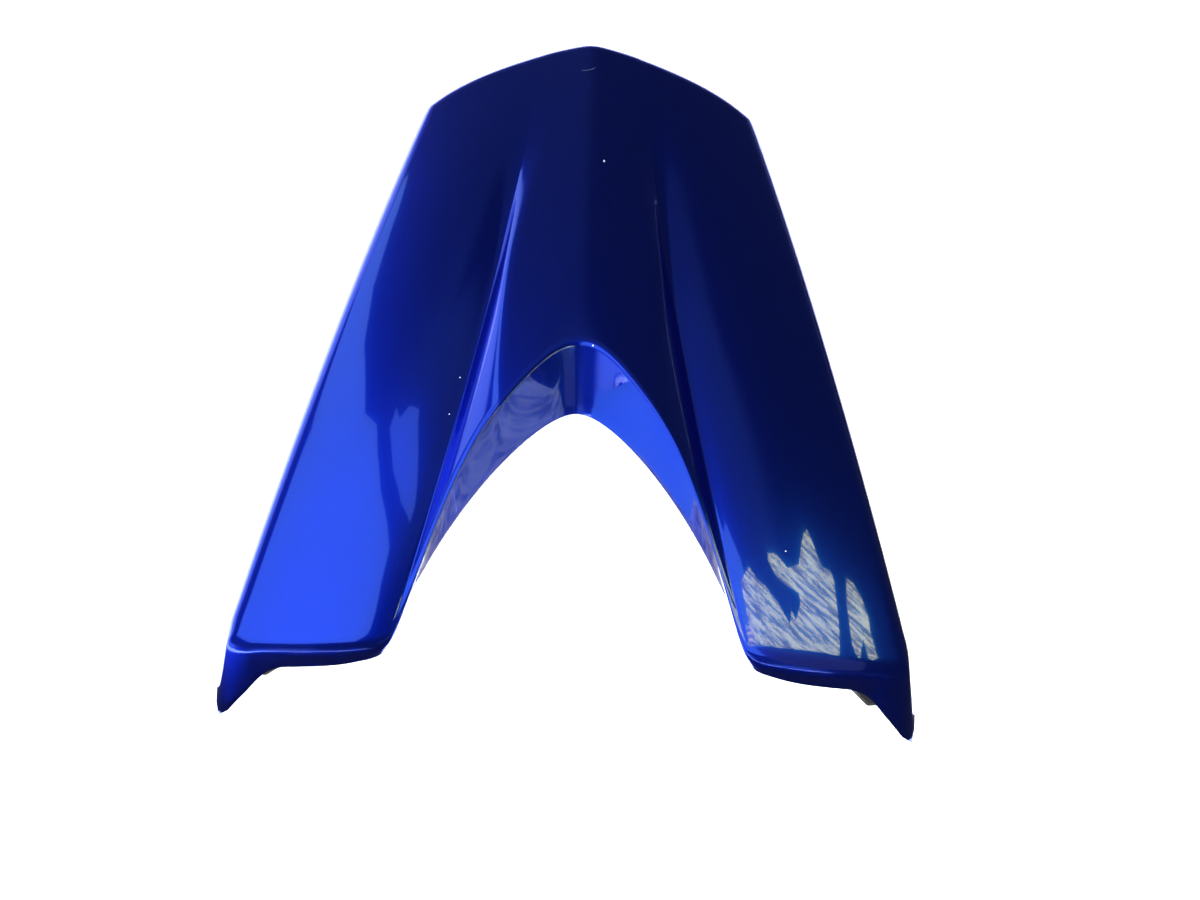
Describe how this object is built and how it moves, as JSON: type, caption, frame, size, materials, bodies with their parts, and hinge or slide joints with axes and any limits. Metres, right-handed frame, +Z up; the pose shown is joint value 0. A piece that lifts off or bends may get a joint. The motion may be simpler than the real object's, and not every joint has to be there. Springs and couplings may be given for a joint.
{
  "type": "motorcycle seat cowl",
  "caption": "Thin moulded rear cowl with a soft central ridge, two creased side panels and two arms around a seat cut-out, to close and carry the lines of a motorcycle's tail.",
  "frame": {"origin": "Middle of the outline on the floor the cowl rests on.", "axes": "+X to the cowl's right as seen from its open front, +Y to the rear point, +Z up from the floor to the painted side."},
  "size_m": [0.308, 0.3584, 0.0695],
  "materials": {
    "blue_shell": "deep metallic blue under a glossy clear coat outside, bare dark plastic inside",
    "black_foam": "matt closed-cell foam"
  },
  "bodies": {
    "root": {"cowl_shell": "blue_shell", "foam_strip_left": "black_foam", "foam_strip_right": "black_foam"}
  },
  "joints": []
}
